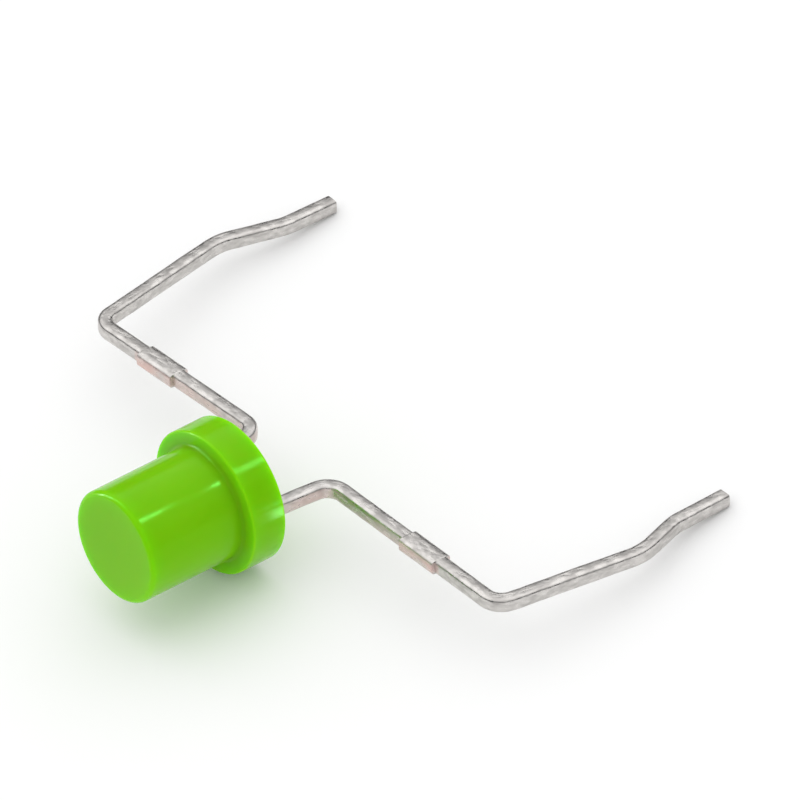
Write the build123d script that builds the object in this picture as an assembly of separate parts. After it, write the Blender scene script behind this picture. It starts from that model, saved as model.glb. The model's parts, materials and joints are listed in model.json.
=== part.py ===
from build123d import *
import os
from math import asin, atan2, cos, degrees, hypot, radians, sin, tan

# LED indicator lamp, 3 mm, flat-topped, diffused green, with its two leads formed outward.
# Millimetres. The lamp is drawn lying along Y: the lens looks to -Y, the leads run to +Y,
# the lead frame lies in the XY plane and Y = 0 is the back face of the flange.
# At the end everything is turned together into the pose it takes when laid on a table, and
# the origin goes to the middle of its footprint.

# --- lens body -------------------------------------------------------------------------
BARREL_D = 3.0
BARREL_LEN = 2.86  # flat top to the front of the flange
FLANGE_RIM = 0.42  # how far the flange stands out all round
FLANGE_D = BARREL_D + 2 * FLANGE_RIM
FLANGE_T = 1.0
TOP_EDGE_R = 0.13  # rounding the mould leaves at the flat top
ROOT_R = 0.1  # fillet between barrel and flange
FLANGE_EDGE_R = 0.05

# --- lead strip ------------------------------------------------------------------------
LEAD_W = 0.4  # the strip is square
PITCH = 2.54  # lead to lead where they leave the flange
STUB_SPLAY = 0.16  # how far each stub has spread by the time it bends
STUB_START = 0.1  # straight out of the flange before the spread
STUB = 1.84  # flange back to the middle of the sideways run
RUN_SWEEP = 1.0  # degrees the run leans toward the lens
RUN_BEND_R = 0.5  # centreline radius of the two right-angle bends
LEG_SPLAY = 9.5  # degrees each leg leans outward
KINK_LEAN = 17.0  # degrees each kink leans back inward
TIP_LEAN = 1.1
KINK_BEND_R = 1.6
TIP_CHAMFER = 0.07  # left by the cutter

# The two leads are formed by hand to slightly different lengths, the anode being the longer.
CATHODE_REACH = 7.88  # lamp axis to the middle of the outer bend
CATHODE_LEG = 4.15
CATHODE_KINK = 1.38
CATHODE_TIP = 1.73
ANODE_REACH = 7.5
ANODE_LEG = 4.49
ANODE_KINK = 1.85
ANODE_TIP = 1.53

# --- stub of the tie bar that joined the leads in the strip ------------------------------
TIE_W = 0.6
TIE_LEN = 1.28
TIE_START = 3.0  # from the middle of the inner bend

# --- inside the lens, measured forward from the flange back -------------------------------
SHOULDER = 1.1  # where the leads start to widen
ANVIL_BACK = 1.4
ANVIL_FRONT = 2.0
ANVIL_IN = -0.28  # inner side of the anvil, just past the lamp axis
ANVIL_OUT = 1.14
CUP_D = 0.96
CUP_BASE_D = 0.8
CUP_FRONT = 2.42
CUP_MOUTH_D = 0.8
CUP_FLOOR_D = 0.46
CUP_DEPTH = 0.3
POST_IN = -0.72
POST_OUT = -1.2
POST_FRONT = 2.3

# --- chip, glue and wire -------------------------------------------------------------------
DIE_W = 0.26
DIE_T = 0.14
GLUE_W = 0.3
GLUE_T = 0.02
WIRE_D = 0.04
WIRE_RISE = 0.24  # top of the loop above the die
WIRE_LAND = 0.14  # from the inner edge of the post to the second bond

HALF = LEAD_W / 2


def lead_points(side, reach, leg, kink, tip):
    """Centreline corners of one formed lead, from inside the flange to the cut end."""
    start = (side * PITCH / 2, -SHOULDER)
    leave = (side * PITCH / 2, STUB_START)
    inner_reach = PITCH / 2 + STUB_SPLAY
    inner = (side * inner_reach, STUB)
    rise = tan(radians(RUN_SWEEP)) * (reach - inner_reach)
    outer = (side * reach, STUB - rise)
    points = [start, leave, inner, outer]
    for length, lean in ((leg, LEG_SPLAY), (kink, -KINK_LEAN), (tip, -TIP_LEAN)):
        x, y = points[-1]
        turn = radians(lean)
        points.append((x + side * length * sin(turn), y + length * cos(turn)))
    return points


def formed_strip(points):
    """The square strip bent along the corners, with its far end chamfered."""
    bends = [KINK_BEND_R, RUN_BEND_R, RUN_BEND_R, KINK_BEND_R, KINK_BEND_R]
    path = FilletPolyline(*points, radius=bends)
    square = Plane(origin=(*points[0], 0), z_dir=(0, 1, 0)) * Rectangle(LEAD_W, LEAD_W)
    strip = sweep(square, path=path)
    cut_face = strip.faces().sort_by(Axis.Y)[-1]
    return chamfer(cut_face.edges(), TIP_CHAMFER)


def tie_stub(points):
    """The wider piece of the sideways run where the tie bar was cut away."""
    (x1, y1), (x2, y2) = points[2], points[3]
    run = hypot(x2 - x1, y2 - y1)
    middle = (TIE_START + TIE_LEN / 2) / run
    centre = (x1 + (x2 - x1) * middle, y1 + (y2 - y1) * middle)
    lean = degrees(atan2(y2 - y1, x2 - x1))
    return Pos(*centre, 0) * Rot(0, 0, lean) * Box(TIE_LEN, TIE_W, LEAD_W)


def blade(*corners):
    """A flat of the lead frame, its corners given as (x, distance forward)."""
    outline = Polyline(*[(x, -forward) for x, forward in corners], close=True)
    return Pos(0, 0, -HALF) * extrude(make_face(outline), LEAD_W)


def forward_cone(rear_d, front_d, rear, front):
    """A round piece on the lamp axis between two distances forward of the flange back."""
    turned = Rot(90, 0, 0) * Cone(rear_d / 2, front_d / 2, front - rear)
    return Pos(0, -(rear + front) / 2, 0) * turned


# --- leads ----------------------------------------------------------------------------------
cathode_line = lead_points(1, CATHODE_REACH, CATHODE_LEG, CATHODE_KINK, CATHODE_TIP)
anode_line = lead_points(-1, ANODE_REACH, ANODE_LEG, ANODE_KINK, ANODE_TIP)

anvil = blade(
    (PITCH / 2 - HALF, SHOULDER),
    (ANVIL_IN, ANVIL_BACK),
    (ANVIL_IN, ANVIL_FRONT),
    (ANVIL_OUT, ANVIL_FRONT),
    (ANVIL_OUT, ANVIL_BACK),
    (PITCH / 2 + HALF, SHOULDER),
)
cup = forward_cone(CUP_BASE_D, CUP_D, ANVIL_FRONT - HALF, CUP_FRONT)
bowl = forward_cone(CUP_FLOOR_D, CUP_MOUTH_D, CUP_FRONT - CUP_DEPTH, CUP_FRONT)
cathode_lead = formed_strip(cathode_line) + tie_stub(cathode_line) + anvil + cup - bowl

post = blade(
    (-PITCH / 2 + HALF, SHOULDER),
    (POST_IN, ANVIL_BACK),
    (POST_IN, POST_FRONT),
    (POST_OUT, POST_FRONT),
    (POST_OUT, ANVIL_BACK),
    (-PITCH / 2 - HALF, SHOULDER),
)
anode_lead = formed_strip(anode_line) + tie_stub(anode_line) + post

# --- chip, glue and wire ------------------------------------------------------------------------
cup_floor = CUP_FRONT - CUP_DEPTH
glue_front = cup_floor + GLUE_T
die_front = glue_front + DIE_T
die_attach = Pos(0, -(cup_floor + glue_front) / 2, 0) * Box(GLUE_W, GLUE_T, GLUE_W)
led_die = Pos(0, -(glue_front + die_front) / 2, 0) * Box(DIE_W, DIE_T, DIE_W)

wire_line = Spline(
    (0, -die_front),
    (0, -die_front - WIRE_RISE),
    (POST_IN - WIRE_LAND, -POST_FRONT),
    tangents=((0, -1), (0, 1)),
)
wire_round = Plane(origin=(0, -die_front, 0), z_dir=(0, -1, 0)) * Circle(WIRE_D / 2)
bond_wire = sweep(wire_round, path=wire_line)

# --- lens body, cast around the rest -------------------------------------------------------------
top = FLANGE_T + BARREL_LEN
barrel_r = BARREL_D / 2
flange_r = FLANGE_D / 2
profile = Polyline(
    (0, 0),
    (flange_r, 0),
    (flange_r, -FLANGE_T),
    (barrel_r, -FLANGE_T),
    (barrel_r, -top),
    (0, -top),
    close=True,
)
half_section = make_face(profile)
corner = half_section.vertices()
half_section = fillet(corner.filter_by(lambda v: v.X > barrel_r + FLANGE_EDGE_R), FLANGE_EDGE_R)
corner = half_section.vertices().filter_by(lambda v: abs(v.X - barrel_r) < FLANGE_EDGE_R)
half_section = fillet(corner.filter_by(lambda v: v.Y > -top + ROOT_R), ROOT_R)
corner = half_section.vertices().filter_by(lambda v: abs(v.X - barrel_r) < FLANGE_EDGE_R)
half_section = fillet(corner.filter_by(lambda v: v.Y < -top + ROOT_R), TOP_EDGE_R)
casting = revolve(half_section, Axis.Y)
lens_body = casting - cathode_lead - anode_lead - die_attach - led_die - bond_wire

# --- the pose it takes on a table: on the rear rim of the flange and on both lead tips -----------


def tip_contact(points):
    """The corner under a cut end, just behind its chamfer, that touches the table."""
    (x1, y1), (x2, y2) = points[-2], points[-1]
    ahead = Vector(x2 - x1, y2 - y1, 0).normalized()
    beside = Vector(ahead.Y, -ahead.X, 0)
    corner = Vector(x2, y2, 0) - ahead * TIP_CHAMFER + beside * HALF
    return corner.X, corner.Y


cathode_tip = tip_contact(cathode_line)
anode_tip = tip_contact(anode_line)
across = Vector(cathode_tip[0] - anode_tip[0], cathode_tip[1] - anode_tip[1], 0).normalized()
behind = across.X * cathode_tip[1] - across.Y * cathode_tip[0]
arm = behind + FLANGE_EDGE_R * across.X
drop = flange_r - FLANGE_EDGE_R - HALF
tilt = asin(FLANGE_EDGE_R / hypot(arm, drop)) + atan2(drop, arm)
lift = behind * sin(tilt) + HALF * cos(tilt)

nodes = {
    "lens_body": lens_body,
    "cathode_lead": cathode_lead,
    "anode_lead": anode_lead,
    "led_die": led_die,
    "die_attach": die_attach,
    "bond_wire": bond_wire,
}
laid = {name: node.rotate(Axis((0, 0, 0), across), -degrees(tilt)) for name, node in nodes.items()}
whole = Compound(list(laid.values())).bounding_box()
to_table = (-whole.center().X, -whole.center().Y, lift)

os.makedirs("parts", exist_ok=True)
for name, node in laid.items():
    node = node.translate(to_table)
    node.label = name
    export_step(node, "parts/" + name + ".step")
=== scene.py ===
# %% [markdown]
# # A green indicator lamp with formed leads
#
# A 3 mm LED is about as simple as a product gets: a drop of coloured epoxy cast around the end
# of a stamped strip. In this lesson the frame of the lamp comes ready-made, and we build the
# pieces people look at over it: the glossy, diffused lens and the two tinned leads.

import json
from math import atan2, copysign, cos, degrees, hypot, pi, radians, sin, tan

import bpy
from mathutils import Matrix, Vector, noise


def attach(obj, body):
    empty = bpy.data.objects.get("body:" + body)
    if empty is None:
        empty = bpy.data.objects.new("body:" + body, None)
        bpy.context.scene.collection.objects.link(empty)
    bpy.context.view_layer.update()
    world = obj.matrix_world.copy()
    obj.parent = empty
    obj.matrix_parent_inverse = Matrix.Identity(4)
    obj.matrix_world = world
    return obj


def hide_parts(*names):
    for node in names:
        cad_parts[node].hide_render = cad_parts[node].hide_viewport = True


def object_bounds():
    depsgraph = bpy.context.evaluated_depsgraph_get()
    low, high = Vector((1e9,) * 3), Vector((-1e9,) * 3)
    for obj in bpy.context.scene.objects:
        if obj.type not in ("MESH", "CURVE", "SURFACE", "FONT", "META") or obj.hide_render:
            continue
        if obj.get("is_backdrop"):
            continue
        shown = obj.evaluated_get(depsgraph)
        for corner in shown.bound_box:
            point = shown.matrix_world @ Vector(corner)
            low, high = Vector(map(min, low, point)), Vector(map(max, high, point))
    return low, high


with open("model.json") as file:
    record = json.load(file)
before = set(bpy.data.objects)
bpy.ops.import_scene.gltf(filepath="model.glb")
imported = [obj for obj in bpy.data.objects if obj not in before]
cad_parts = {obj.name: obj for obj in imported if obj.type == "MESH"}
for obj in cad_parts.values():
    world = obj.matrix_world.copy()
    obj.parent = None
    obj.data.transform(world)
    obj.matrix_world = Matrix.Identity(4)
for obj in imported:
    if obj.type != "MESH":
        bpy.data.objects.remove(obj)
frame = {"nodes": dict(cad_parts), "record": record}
frame_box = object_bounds()
mounts = {m["name"]: m for m in frame["record"]["mounts"]}
size_mm = [round((high - low) * 1000, 2) for low, high in zip(*frame_box)]
print("frame box, mm:", size_mm)

# %% [markdown]
# ## Where the lamp lies
#
# The lamp isn't square to the table. It lies on the rear rim of its flange and on its two cut
# ends, so its own axis points up by about ten degrees. Drawing in tilted space is awkward, so we
# draw everything in the lamp's own axes, in millimetres, and let one matrix lay it down.
# Three marks fix that matrix: the axis of the barrel, the flange's seat, and the two lead tips.

# %% The lamp's own axes
BARREL_D = 3.0
BARREL_LEN = 2.86
FLANGE_D = 3.84
FLANGE_T = 1.0

forward = Vector(mounts["lens_barrel"]["axis"]).normalized()
on_axis = Vector(mounts["lens_barrel"]["pos_m"])
seat = Vector(mounts["flange_seat"]["pos_m"])
flange_front = on_axis + forward * (seat - on_axis).dot(forward)
flange_back = flange_front - forward * FLANGE_T / 1000

across = Vector(mounts["cathode_tip"]["pos_m"]) - Vector(mounts["anode_tip"]["pos_m"])
side = (across - forward * across.dot(forward)).normalized()
back = -forward
upward = side.cross(back)
axes = Matrix((side, back, upward)).transposed().to_4x4()
lay_down = Matrix.Translation(flange_back) @ axes @ Matrix.Scale(0.001, 4)
rise = degrees(atan2(forward.z, hypot(forward.x, forward.y)))
print("lamp axis rises by, degrees:", round(rise, 2))


def lay(name, vertices, faces):
    """A mesh drawn in the lamp's axes, in mm, laid on the table as one piece."""
    mesh = bpy.data.meshes.new(name)
    mesh.from_pydata(vertices, [], faces)
    mesh.transform(lay_down)
    mesh.update()
    mesh.shade_smooth()
    piece = bpy.data.objects.new(name, mesh)
    bpy.context.scene.collection.objects.link(piece)
    return piece


# %% [markdown]
# ## The lens
#
# The lens is cast in a cup-shaped mould, so it is a solid of revolution. Nothing that comes out
# of a mould has a true sharp edge: the flat top rolls over into the barrel, the barrel runs into
# the flange through a small fillet, and the rim of the flange is just broken. These three
# roundings are what catch the light, so they get real geometry rather than a trick of shading.

# %% A profile with rounded corners
TOP_EDGE_R = 0.13
ROOT_R = 0.1
FLANGE_EDGE_R = 0.05


def rounded(corners, radii, pieces=8):
    """The open line through the corners, each turned into an arc of its own radius."""
    line = [Vector(corners[0])]
    for before, corner, after, radius in zip(corners, corners[1:], corners[2:], radii):
        corner = Vector(corner)
        inward = (Vector(before) - corner).normalized()
        outward = (Vector(after) - corner).normalized()
        half_angle = inward.angle(outward) / 2
        setback = radius / tan(half_angle)
        centre = corner + (inward + outward).normalized() * radius / sin(half_angle)
        first = corner + inward * setback - centre
        last = corner + outward * setback - centre
        sweep = first.angle_signed(last)
        for step in range(pieces + 1):
            turn = Matrix.Rotation(-sweep * step / pieces, 2)
            line.append(centre + turn @ first)
    line.append(Vector(corners[-1]))
    return line


top = -(FLANGE_T + BARREL_LEN)
lens_corners = [
    (0, 0),
    (FLANGE_D / 2, 0),
    (FLANGE_D / 2, -FLANGE_T),
    (BARREL_D / 2, -FLANGE_T),
    (BARREL_D / 2, top),
    (0, top),
]
lens_line = rounded(lens_corners, [FLANGE_EDGE_R, FLANGE_EDGE_R, ROOT_R, TOP_EDGE_R])
print("points on the lens profile:", len(lens_line))

# %% [markdown]
# ## Turning the lens
#
# With 192 steps round, the outline stays round even in a close-up. The flat top and the flange
# faces also get a ring just inside each edge: smooth shading spreads over the neighbouring face,
# and the extra ring keeps that spread tight against the rounding.

# %% Cast the lens
def turned(profile, segments):
    """Vertices and faces of a profile of (radius, along) turned about the lamp's axis."""
    vertices, faces, rings = [], [], []
    for radius, along in profile:
        if radius < 1e-6:
            rings.append([len(vertices)] * segments)
            vertices.append((0, along, 0))
            continue
        rings.append(list(range(len(vertices), len(vertices) + segments)))
        for step in range(segments):
            angle = 2 * pi * step / segments
            vertices.append((radius * cos(angle), along, radius * sin(angle)))
    for near, far in zip(rings, rings[1:]):
        for step in range(segments):
            corner = (step + 1) % segments
            face = [near[step], near[corner], far[corner], far[step]]
            faces.append(list(dict.fromkeys(face)))
    return vertices, faces


HOLD = 0.02
held = []
for here, ahead in zip(lens_line, lens_line[1:]):
    held.append(here)
    span = (ahead - here).length
    if span > 4 * HOLD:
        held.append(here.lerp(ahead, HOLD / span))
        held.append(ahead.lerp(here, HOLD / span))
held.append(lens_line[-1])
lens = lay("cast_lens", *turned(held, 192))
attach(lens, "root")
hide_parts("lens_body")
print("lens faces:", len(lens.data.polygons))

# %% [markdown]
# ## The leads
#
# Each lead is a 0.4 mm square strip stamped out of sheet steel and dipped in tin. After casting
# it is bent outward, run sideways, and bent back again, with a small joggle near the end that
# springs against the sides of its hole. We follow the middle of the strip with the same rounded
# line as the lens, then wrap a square section round it.

# %% The bent centreline
LEAD = 0.4
PITCH = 2.54
STUB_SPLAY = 0.16
STUB_START = 0.1
STUB = 1.84
RUN_SWEEP = 1.0
BEND_R = 0.5
KINK_R = 1.6
SHOULDER = 1.1


def centreline(side_sign, reach, legs):
    """Corners of a lead: out of the flange, sideways, then the (length, lean) legs back."""
    inner = PITCH / 2 + STUB_SPLAY
    rise = tan(radians(RUN_SWEEP)) * (reach - inner)
    corners = [(PITCH / 2, -SHOULDER), (PITCH / 2, STUB_START), (inner, STUB)]
    corners.append((reach, STUB - rise))
    for length, lean in legs:
        x, y = corners[-1]
        corners.append((x + length * sin(radians(lean)), y + length * cos(radians(lean))))
    return [(side_sign * x, y) for x, y in corners]


cathode_corners = centreline(1, 7.88, [(4.15, 9.5), (1.38, -17.0), (1.73, -1.1)])
anode_corners = centreline(-1, 7.5, [(4.49, 9.5), (1.85, -17.0), (1.53, -1.1)])
spread = cathode_corners[-1][0] - anode_corners[-1][0]
print("lead tips apart, mm:", round(spread, 2))

# %% [markdown]
# ## The cut tie bar
#
# In the strip the leads of many lamps are joined by a cross bar, which is sheared away after
# casting. What is left is a short length of lead that is wider than the rest, with square ends.
# We get it by letting the section grow for that length: two stations almost on top of each
# other make each step.

# %% Stations along a lead
TIE_W = 0.6
TIE_LEN = 1.28
TIE_START = 3.0
STEP = 0.012  # between the two stations of a step
SPACING = 0.06  # between ordinary stations
TIP_CHAMFER = 0.07


def stations(corners):
    """(point, direction, width, height) all along a lead, steps and cut end included."""
    line = rounded(corners, [KINK_R, BEND_R, BEND_R, KINK_R, KINK_R], pieces=14)
    inner, outer = Vector(corners[2]), Vector(corners[3])
    along_run = (outer - inner).normalized()
    tie = [inner + along_run * (TIE_START + extra) for extra in (0, TIE_LEN)]
    dense = []
    for here, ahead in zip(line, line[1:]):
        count = max(1, round((ahead - here).length / SPACING))
        heading = (ahead - here).normalized()
        for step in range(count):
            dense.append((here.lerp(ahead, step / count), heading))
    dense.append((line[-1], heading))
    result = []
    for (point, heading), (following, _) in zip(dense, dense[1:]):
        on_run = min(inner.x, outer.x) < point.x < max(inner.x, outer.x) and point.y < STUB
        reach = (point - inner).dot(along_run) - TIE_START
        wide = on_run and 0 < reach < TIE_LEN
        result.append((point, heading, TIE_W if wide else LEAD, LEAD))
        for mark, rising in zip(tie, (True, False)):
            if on_run and (mark - point).dot(along_run) > 0 >= (mark - following).dot(along_run):
                first, second = (LEAD, TIE_W) if rising else (TIE_W, LEAD)
                result.append((mark - along_run * STEP / 2, along_run, first, LEAD))
                result.append((mark + along_run * STEP / 2, along_run, second, LEAD))
    end, heading = dense[-1]
    result.append((end - heading * TIP_CHAMFER, heading, LEAD, LEAD))
    cut = LEAD - 2 * TIP_CHAMFER
    result.append((end, heading, cut, cut))
    ordered = [result[0]]
    for station in result[1:]:
        if (station[0] - ordered[-1][0]).dot(station[1]) > 1e-4:
            ordered.append(station)
    return ordered


print("stations on the cathode:", len(stations(cathode_corners)))

# %% [markdown]
# ## Wrapping the section
#
# Tin melts round a stamped strip and draws back from its edges, so the section is a square with
# slightly pillowed sides. A superellipse gives exactly that with one formula.
#
# The strip was sheared from its sheet, and near the lens the dip did not reach the sheared sides.
# Those sides get a pink, which near the lens also stands in for a coloured reflection, so it is
# partly painted reflection. For every vertex we note how much of this pink it gets, and leave it
# to the finish to show it.

# %% The section, and where it is bare copper or painted reflection
AROUND = 32
SQUARENESS = 4.6
SIDE_FROM = 0.9  # share of the half width where the side face begins
SIDE_FADE = 0.06
PATCHY = 0.6
# Past this length the sides get none of the pink of bare copper and painted reflection.
COPPER_AND_REFLECTION_END = SHOULDER + STUB + TIE_START + TIE_LEN


def section(width, height):
    """A pillowed rectangle as (sideways, up) pairs, anticlockwise."""
    points = []
    for step in range(AROUND):
        angle = 2 * pi * (step + 0.5) / AROUND
        halves = ((width / 2, cos(angle)), (height / 2, sin(angle)))
        power = 2 / SQUARENESS
        points.append([half * copysign(abs(part) ** power, part) for half, part in halves])
    return points


def copper_and_reflection_share(side_share, along, width):
    """How pink a vertex is, as bare copper and painted reflection: 1 on the sheared tie bar, patchy
    up to it, and 0 past the dip.
    """
    on_side = min(1.0, max(0.0, (side_share - SIDE_FROM) / SIDE_FADE))
    if width > LEAD:
        return on_side
    return PATCHY * on_side if along < COPPER_AND_REFLECTION_END else 0.0


# The pink, bare copper and painted reflection together, stops at this length.
print("the dip ends this far along the strip, mm:", round(COPPER_AND_REFLECTION_END, 2))

# %% [markdown]
# ## Skin from ring to ring
#
# Each station gets one ring of vertices, drawn in by a few micrometres of smooth noise: dipped
# tin is never quite even, and this is what makes the highlights break up along the lead instead
# of running like a ruled line. Beside the pink share, bare copper and painted reflection together,
# we also keep where the vertex was in the straight strip, in millimetres, so that streaks in the
# tin can follow the lead round its bends.

# %% Wrap a lead
UNEVEN = 0.012
RIPPLE = 2.2  # ripples of the noise to a millimetre


def wrap(line, seed):
    """Vertices and faces of the strip, closed at both ends, and its two lists of notes."""
    vertices, faces, rings, unbent, copper_and_reflection = [], [], [], [], []
    along, previous = 0.0, line[0][0]
    for point, heading, width, height in line:
        along += (point - previous).length
        previous = point
        centre = Vector((point.x, point.y, 0))
        ring = []
        for across_strip, up in section(width, height):
            sideways = Vector((heading.y, -heading.x, 0)) * across_strip
            spot = centre + sideways + Vector((0, 0, up))
            pull = UNEVEN * (0.5 + 0.5 * noise.noise(spot * RIPPLE + Vector((seed, 0, 0))))
            ring.append(len(vertices))
            vertices.append(spot + (centre - spot).normalized() * pull)
            unbent.append((across_strip, up, along))
            # The pink share of the vertex: bare copper, and near the lens painted reflection.
            copper_and_reflection.append(copper_and_reflection_share(abs(across_strip) * 2 / width, along, width))
        rings.append(ring)
    for near, far in zip(rings, rings[1:]):
        for step in range(AROUND):
            corner = (step + 1) % AROUND
            faces.append((near[step], near[corner], far[corner], far[step]))
    faces.append(tuple(reversed(rings[0])))
    faces.append(tuple(rings[-1]))
    return vertices, faces, unbent, copper_and_reflection


print("the tin draws the skin in by up to, mm:", UNEVEN)

# %% [markdown]
# ## The end that nobody sees
#
# Inside the lens the cathode widens into an anvil with a coined cup, the reflector the chip sits
# in, and the anode into a narrow post for the bond wire. The diffused epoxy hides them, but the
# lead is one piece of metal from the cup to the cut end, so we build it that way.

# %% Anvil, cup and post
ANVIL_IN, ANVIL_OUT = -0.28, 1.14
POST_IN, POST_OUT = -0.72, -1.2
WIDEN = 1.4  # forward of the flange's back, like the next four
ANVIL_FRONT = 2.0
POST_FRONT = 2.3
CUP_FRONT = 2.42
CUP_FLOOR = 2.12


def blade(outline):
    """A flat of the strip from its (x, forward) outline, as vertices and faces."""
    count = len(outline)
    vertices = [(x, -ahead, LEAD / 2) for x, ahead in outline]
    vertices += [(x, -ahead, -LEAD / 2) for x, ahead in outline]
    faces = [tuple(range(count)), tuple(reversed(range(count, 2 * count)))]
    for step in range(count):
        corner = (step + 1) % count
        faces.append((step, step + count, corner + count, corner))
    return vertices, faces


def joined(*parts):
    """Several (vertices, faces) pairs as one."""
    vertices, faces = [], []
    for part_vertices, part_faces in parts:
        start = len(vertices)
        vertices += part_vertices
        faces += [tuple(index + start for index in face) for face in part_faces]
    return vertices, faces


near_side, far_side = PITCH / 2 - LEAD / 2, PITCH / 2 + LEAD / 2
anvil = blade([
    (near_side, SHOULDER),
    (ANVIL_IN, WIDEN),
    (ANVIL_IN, ANVIL_FRONT),
    (ANVIL_OUT, ANVIL_FRONT),
    (ANVIL_OUT, WIDEN),
    (far_side, SHOULDER),
])
post = blade([
    (-far_side, SHOULDER),
    (POST_OUT, WIDEN),
    (POST_OUT, POST_FRONT),
    (POST_IN, POST_FRONT),
    (POST_IN, WIDEN),
    (-near_side, SHOULDER),
])
cup_root = ANVIL_FRONT - LEAD / 2
cup_walls = [(0, cup_root), (0.4, cup_root), (0.48, CUP_FRONT), (0.4, CUP_FRONT)]
cup_bowl = [(0.23, CUP_FLOOR), (0, CUP_FLOOR)]
cup = turned([(radius, -ahead) for radius, ahead in cup_walls + cup_bowl], 64)
print("faces of anvil, post and cup:", len(anvil[1]), len(post[1]), len(cup[1]))

# %% [markdown]
# ## Two whole leads
#
# The wrapped strip and its ends make one piece of metal each. The two lists of notes go into the
# mesh as two attributes, where the finish finds them by name: where each vertex was in the
# straight strip, and its pink share, bare copper and painted reflection together. Edges sharper
# than 35 degrees stay crisp, such as the steps of the tie bar and the cut ends.

# %% Lay the leads
def lay_lead(name, corners, seed, *ends):
    """A whole lead: the wrapped strip joined to its ends inside the lens."""
    strip_vertices, strip_faces, unbent, copper_and_reflection = wrap(stations(corners), seed)
    vertices, faces = joined((strip_vertices, strip_faces), *ends)
    piece = lay(name, vertices, faces)
    piece.data.set_sharp_from_angle(angle=radians(35))
    unbent += [tuple(spot) for spot in vertices[len(unbent):]]
    copper_and_reflection += [0.0] * (len(vertices) - len(copper_and_reflection))
    flat = piece.data.attributes.new("unbent", "FLOAT_VECTOR", "POINT")
    flat.data.foreach_set("vector", [value for spot in unbent for value in spot])
    # Stored for the finish: the pink share, bare copper and painted reflection together.
    piece.data.attributes.new("copper_and_reflection", "FLOAT", "POINT").data.foreach_set("value", copper_and_reflection)
    print(name, "faces:", len(piece.data.polygons))
    return piece


cathode = lay_lead("cathode_strip", cathode_corners, 3.0, anvil, cup)
anode = lay_lead("anode_strip", anode_corners, 17.0, post)
for piece, node in ((cathode, "cathode_lead"), (anode, "anode_lead")):
    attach(piece, "root")
    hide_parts(node)

# %% [markdown]
# ## Helpers for the finishes
#
# No real surface has one even colour. All our finishes are built the same way: a soft noise runs
# a colour, and often the roughness too, between two values that lie close together.

# %% Noise into colours and numbers
NOISE_LOW, NOISE_HIGH = 0.35, 0.65


def new_material(name):
    """A material with only its Principled shader, which is returned with its node tree."""
    material = bpy.data.materials.new(name)
    material.use_nodes = True
    return material, material.node_tree, material.node_tree.nodes["Principled BSDF"]


def mottle(tree, socket, coordinates, scale, dark, light):
    """Soft noise that runs a colour socket from dark to light, returned for further use."""
    cloud = tree.nodes.new("ShaderNodeTexNoise")
    cloud.inputs["Scale"].default_value = scale
    cloud.inputs["Detail"].default_value = 3
    tree.links.new(coordinates, cloud.inputs["Vector"])
    ramp = tree.nodes.new("ShaderNodeValToRGB")
    ramp.color_ramp.elements[0].position = NOISE_LOW
    ramp.color_ramp.elements[0].color = dark
    ramp.color_ramp.elements[1].position = NOISE_HIGH
    ramp.color_ramp.elements[1].color = light
    tree.links.new(cloud.outputs["Fac"], ramp.inputs["Fac"])
    tree.links.new(ramp.outputs["Color"], socket)
    return cloud


def run_between(tree, source, socket, low, high):
    """Runs a number socket from low to high as a noise goes through its usual range."""
    span = tree.nodes.new("ShaderNodeMapRange")
    span.inputs["From Min"].default_value = NOISE_LOW
    span.inputs["From Max"].default_value = NOISE_HIGH
    span.inputs["To Min"].default_value = low
    span.inputs["To Max"].default_value = high
    tree.links.new(source.outputs["Fac"], span.inputs["Value"])
    tree.links.new(span.outputs["Result"], socket)


print("the noise is used from", NOISE_LOW, "to", NOISE_HIGH)

# %% [markdown]
# ## Diffused epoxy
#
# The epoxy is dyed and filled with fine white powder, so the light of the chip spreads through
# the whole lens. From outside that reads as a deep, even colour that seems to glow a little at
# the edges. Subsurface scattering over a fraction of a millimetre does this, and a smooth
# surface on top gives the tight highlights of a moulded part.

# %% Lens finish
epoxy, tree, shader = new_material("green epoxy")
place = tree.nodes.new("ShaderNodeTexCoord").outputs["Object"]
deep_green, light_green = (0.17, 0.48, 0.003, 1), (0.186, 0.5, 0.005, 1)
mottle(tree, shader.inputs["Base Color"], place, 450, deep_green, light_green)
skin = tree.nodes.new("ShaderNodeTexNoise")
skin.inputs["Scale"].default_value = 3000
tree.links.new(place, skin.inputs["Vector"])
run_between(tree, skin, shader.inputs["Roughness"], 0.13, 0.19)
shader.inputs["IOR"].default_value = 1.5
shader.inputs["Specular Tint"].default_value = (0.12, 1.0, 0.1, 1)
shader.inputs["Specular IOR Level"].default_value = 0.15
shader.inputs["Subsurface Weight"].default_value = 1.0
shader.inputs["Subsurface Radius"].default_value = (0.4, 1.0, 0.15)
shader.inputs["Subsurface Scale"].default_value = 0.001
lens.data.materials.append(epoxy)
print(epoxy.name, "nodes:", len(tree.nodes))

# %% [markdown]
# ## Dipped tin
#
# Tin is a warm, light metal that dulls quickly. Streaks of noise, stretched along the strip, run
# it from dull to bright, and the dull parts are rougher too. The colour goes through a mix node,
# whose second colour is free for what lies under the tin, and for a painted reflection near the
# lens.

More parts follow.
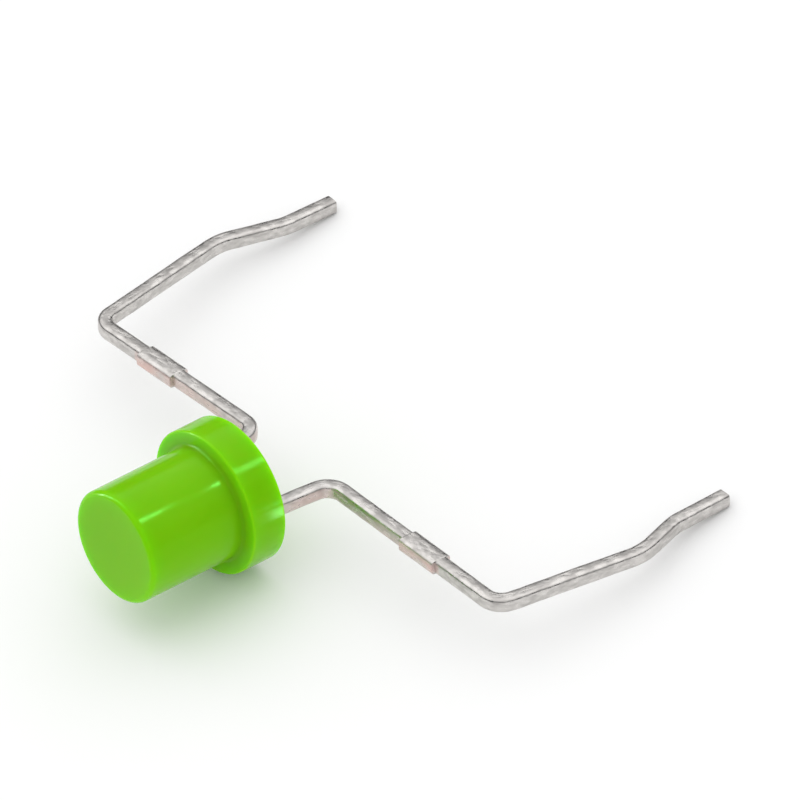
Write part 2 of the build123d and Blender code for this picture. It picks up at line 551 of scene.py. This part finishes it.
# %% Streaks in the tin
tin, tree, shader = new_material("tin")
strip_place = tree.nodes.new("ShaderNodeAttribute")
strip_place.attribute_name = "unbent"
stretched = tree.nodes.new("ShaderNodeMapping")
stretched.inputs["Scale"].default_value = (1, 1, 0.45)
tree.links.new(strip_place.outputs["Vector"], stretched.inputs["Vector"])
finish = tree.nodes.new("ShaderNodeMix")
finish.data_type = "RGBA"
tree.links.new(finish.outputs["Result"], shader.inputs["Base Color"])
dull_tin, bright_tin = (0.5, 0.48, 0.462, 1), (0.68, 0.657, 0.633, 1)
streaks = mottle(tree, finish.inputs["A"], stretched.outputs["Vector"], 8, dull_tin, bright_tin)
run_between(tree, streaks, shader.inputs["Roughness"], 0.38, 0.24)
print(tin.name, "streaks run from", dull_tin[:3], "to", bright_tin[:3])

# %% [markdown]
# ## Bare copper and painted reflection
#
# Where the dip did not reach, the copper-plated steel shows. It is pinkish and not as smooth, so
# the finish is less of a mirror. Near the lens this pink also stands in for a coloured reflection,
# so it is partly painted reflection. A broad noise breaks it into patches, because tin creeps over
# an edge here and there.

# %% Bare copper and painted reflection
# Pink of bare copper, which near the lens is also painted reflection.
finish.inputs["B"].default_value = (0.7, 0.47, 0.43, 1)
copper_and_reflection_node = tree.nodes.new("ShaderNodeAttribute")
copper_and_reflection_node.attribute_name = "copper_and_reflection"
patches = tree.nodes.new("ShaderNodeTexNoise")
patches.inputs["Scale"].default_value = 2.5
tree.links.new(stretched.outputs["Vector"], patches.inputs["Vector"])
copper_and_reflection_amount = tree.nodes.new("ShaderNodeMath")
copper_and_reflection_amount.operation = "MULTIPLY"
tree.links.new(copper_and_reflection_node.outputs["Fac"], copper_and_reflection_amount.inputs[0])
run_between(tree, patches, copper_and_reflection_amount.inputs[1], 0.2, 0.9)
tree.links.new(copper_and_reflection_amount.outputs["Value"], finish.inputs["Factor"])
mirror = tree.nodes.new("ShaderNodeMath")
mirror.operation = "MULTIPLY_ADD"
mirror.inputs[1].default_value = -0.8
mirror.inputs[2].default_value = 1.0
tree.links.new(copper_and_reflection_amount.outputs["Value"], mirror.inputs[0])
tree.links.new(mirror.outputs["Value"], shader.inputs["Metallic"])
print(tin.name, "with its bare copper, nodes:", len(tree.nodes))

# %% [markdown]
# ## Speckle
#
# A finer noise lifts the surface a touch, which gives the speckled sparkle of solder-dipped wire.
# It is a few hundredths of a millimetre deep, too little to be worth real geometry.

# %% Speckled tin
speckle = tree.nodes.new("ShaderNodeTexNoise")
speckle.inputs["Scale"].default_value = 8
speckle.inputs["Detail"].default_value = 4
tree.links.new(stretched.outputs["Vector"], speckle.inputs["Vector"])
bump = tree.nodes.new("ShaderNodeBump")
bump.inputs["Strength"].default_value = 0.5
bump.inputs["Distance"].default_value = 0.00003
tree.links.new(speckle.outputs["Fac"], bump.inputs["Height"])
tree.links.new(bump.outputs["Normal"], shader.inputs["Normal"])
for piece in (cathode, anode):
    piece.data.materials.append(tin)
print(tin.name, "nodes:", len(tree.nodes))

# %% [markdown]
# ## Chip, glue and wire
#
# These come straight from the frame. They are sealed inside the lens, so a light mottling each is
# enough: the yellowish crystal of a green chip, grey silver-filled glue, and drawn gold.

# %% Finishes inside the lens
inside = {
    "led_die": ("chip crystal", (0.28, 0.3, 0.09, 1), (0.4, 0.41, 0.15, 1), 0.0, 0.3),
    "die_attach": ("silver glue", (0.45, 0.45, 0.45, 1), (0.72, 0.72, 0.71, 1), 0.6, 0.6),
    "bond_wire": ("drawn gold", (0.88, 0.6, 0.22, 1), (1.0, 0.74, 0.34, 1), 1.0, 0.2),
}
for node, (name, dark, light, metallic, roughness) in inside.items():
    material, tree, shader = new_material(name)
    place = tree.nodes.new("ShaderNodeTexCoord").outputs["Object"]
    mottle(tree, shader.inputs["Base Color"], place, 30000, dark, light)
    shader.inputs["Metallic"].default_value = metallic
    shader.inputs["Roughness"].default_value = roughness
    frame["nodes"][node].data.materials.clear()
    frame["nodes"][node].data.materials.append(material)
    print(node, "is", name)

# %% [markdown]
# ## The table
#
# Small shiny parts are lit by what they reflect, so the table matters as much as the lights: its
# pale, matt top fills every face that looks down.

# %% Table
bpy.ops.mesh.primitive_plane_add(size=1.2)
table = bpy.context.object
table.name = "table"
paper, tree, shader = new_material("pale table")
shader.inputs["Base Color"].default_value = (0.9, 0.9, 0.9, 1)
shader.inputs["Roughness"].default_value = 0.9
shader.inputs["Specular IOR Level"].default_value = 0.1
table.data.materials.append(paper)
table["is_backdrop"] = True
print("table, m:", round(table.dimensions.x, 2), "by", round(table.dimensions.y, 2))

# %% [markdown]
# ## A low dark screen
#
# In an all-white surround metal loses its outline. A low dark screen all round, which only
# reflections can see, draws a thin dark line along the far edges of the leads. It casts no shadow
# and darkens no matt surface, so nothing else changes.

# %% Low dark screen
SCREEN_AWAY = 0.3
SCREEN_RISE = 26.0
bpy.ops.mesh.primitive_cylinder_add(
    vertices=64, radius=SCREEN_AWAY, depth=1, end_fill_type="NOTHING"
)
screen = bpy.context.object
screen.name = "low_screen"
screen_height = SCREEN_AWAY * tan(radians(SCREEN_RISE))
screen.scale.z = screen_height
screen.location.z = screen_height / 2 + 0.0005
felt, tree, shader = new_material("black felt")
shader.inputs["Base Color"].default_value = (0.03, 0.03, 0.032, 1)
shader.inputs["Roughness"].default_value = 1.0
screen.data.materials.append(felt)
screen.visible_camera = False
screen.visible_diffuse = False
screen.visible_shadow = False
screen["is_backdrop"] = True
print("screen height, m:", round(screen_height, 3))

# %% [markdown]
# ## Lamps
#
# A white surround and one large softbox light everything. The other lamps are small and close,
# shine on the lens only, and are switched off for diffuse surfaces, so each draws one highlight
# and adds nothing to the colour. Three on one line make the short streaks on the barrel and the
# rim and the dot between them. A tall strip in front on the left makes the glints on the rounded
# edges, and a low lamp makes the bright spot at the side of the rim.

# %% Lights
middle = (frame_box[0] + frame_box[1]) / 2
lens_only = bpy.data.collections.new("lens only")
lens_only.objects.link(lens)


def panel(name, direction, distance, width, height, brightness, aim=middle, highlight=False):
    """An area light that looks at a point of the lamp. A brightness of 1 reflects as white."""
    light = bpy.data.lights.new(name, "AREA")
    light.shape = "RECTANGLE"
    light.size = width
    light.size_y = height
    light.energy = brightness * pi * width * height
    holder = bpy.data.objects.new(name, light)
    bpy.context.scene.collection.objects.link(holder)
    toward = Vector(direction).normalized()
    holder.location = aim + toward * distance
    holder.rotation_euler = toward.to_track_quat("Z", "Y").to_euler()
    holder.visible_camera = False
    if highlight:
        holder.visible_diffuse = False
        holder.light_linking.receiver_collection = lens_only
    holder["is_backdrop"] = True


barrel_front = lay_down @ Vector((0.86, -3.7, 1.23))
junction = lay_down @ Vector((0.87, -1.36, 1.22))
rim_top = lay_down @ Vector((1.15, -0.5, 1.54))
rim_side = lay_down @ Vector((1.865, -0.15, 0.455))
front_edge = lay_down @ Vector((-0.2, -3.8, 1.45))
panel("softbox", (-0.3, 0.2, 1), 0.25, 0.4, 0.4, 0.36)
panel("barrel lamp", (0.343, 0.649, 0.679), 0.008, 0.0009, 0.0009, 50, barrel_front, highlight=True)
panel("junction lamp", (0.36, 0.647, 0.67), 0.002, 0.00025, 0.00025, 50, junction, highlight=True)
panel("rim lamp", (0.39, 0.645, 0.657), 0.008, 0.0009, 0.0009, 46, rim_top, highlight=True)
panel("left strip", (-0.661, -0.469, 0.587), 0.05, 0.009, 0.08, 36, front_edge, highlight=True)
panel("side lamp", (0.823, 0.459, -0.334), 0.004, 0.0005, 0.0018, 30, rim_side, highlight=True)

world = bpy.data.worlds.new("white surround")
bpy.context.scene.world = world
world.use_nodes = True
world.node_tree.nodes["Background"].inputs["Color"].default_value = (1, 1, 1, 1)
world.node_tree.nodes["Background"].inputs["Strength"].default_value = 1.0
bpy.context.scene.view_settings.view_transform = "Standard"
print("lights:", len(bpy.data.lights))

# %% [markdown]
# ## Camera
#
# Catalogue pictures of parts this small are taken from far away with a long lens, so that
# parallel edges stay parallel. The camera sits 0.4 m off and frames just under 20 mm. Three angles
# say how it looks: how far round the lamp it has walked, how far up, and how far it leans over.

# %% Camera
FRAME_WIDTH = 0.019714
DISTANCE = 0.4
SENSOR = 36.0
AZIMUTH = radians(57.80)
ELEVATION = radians(42.14)
ROLL = radians(-12.09)
camera_data = bpy.data.cameras.new("camera")
camera_data.sensor_width = SENSOR
camera_data.lens = SENSOR * DISTANCE / FRAME_WIDTH
camera_data.clip_start = 0.01
camera_data.clip_end = 5
camera = bpy.data.objects.new("camera", camera_data)
bpy.context.scene.collection.objects.link(camera)
target = Vector((0.0004988, 0.0021152, 0.0017730))
level = cos(ELEVATION)
away = Vector((sin(AZIMUTH) * level, -cos(AZIMUTH) * level, sin(ELEVATION)))
level_right = Vector((cos(AZIMUTH), sin(AZIMUTH), 0))
level_up = away.cross(level_right)
right = level_right * cos(ROLL) + level_up * sin(ROLL)
up = away.cross(right)
turn = Matrix((right, up, away)).transposed()
camera.matrix_world = Matrix.Translation(target + away * DISTANCE) @ turn.to_4x4()
bpy.context.scene.camera = camera
print("focal length, mm:", round(camera_data.lens, 1))

# %% [markdown]
# ## The size at the end
#
# Last, we print the box round the finished model, to set beside the box round the frame printed at
# the start. They should agree to a few hundredths of a millimetre, the tin's unevenness being drawn
# inward only.

# %% Box of the finished model
shown_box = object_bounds()
shown_mm = [round((high - low) * 1000, 2) for low, high in zip(*shown_box)]
print("shown box, mm:", shown_mm)
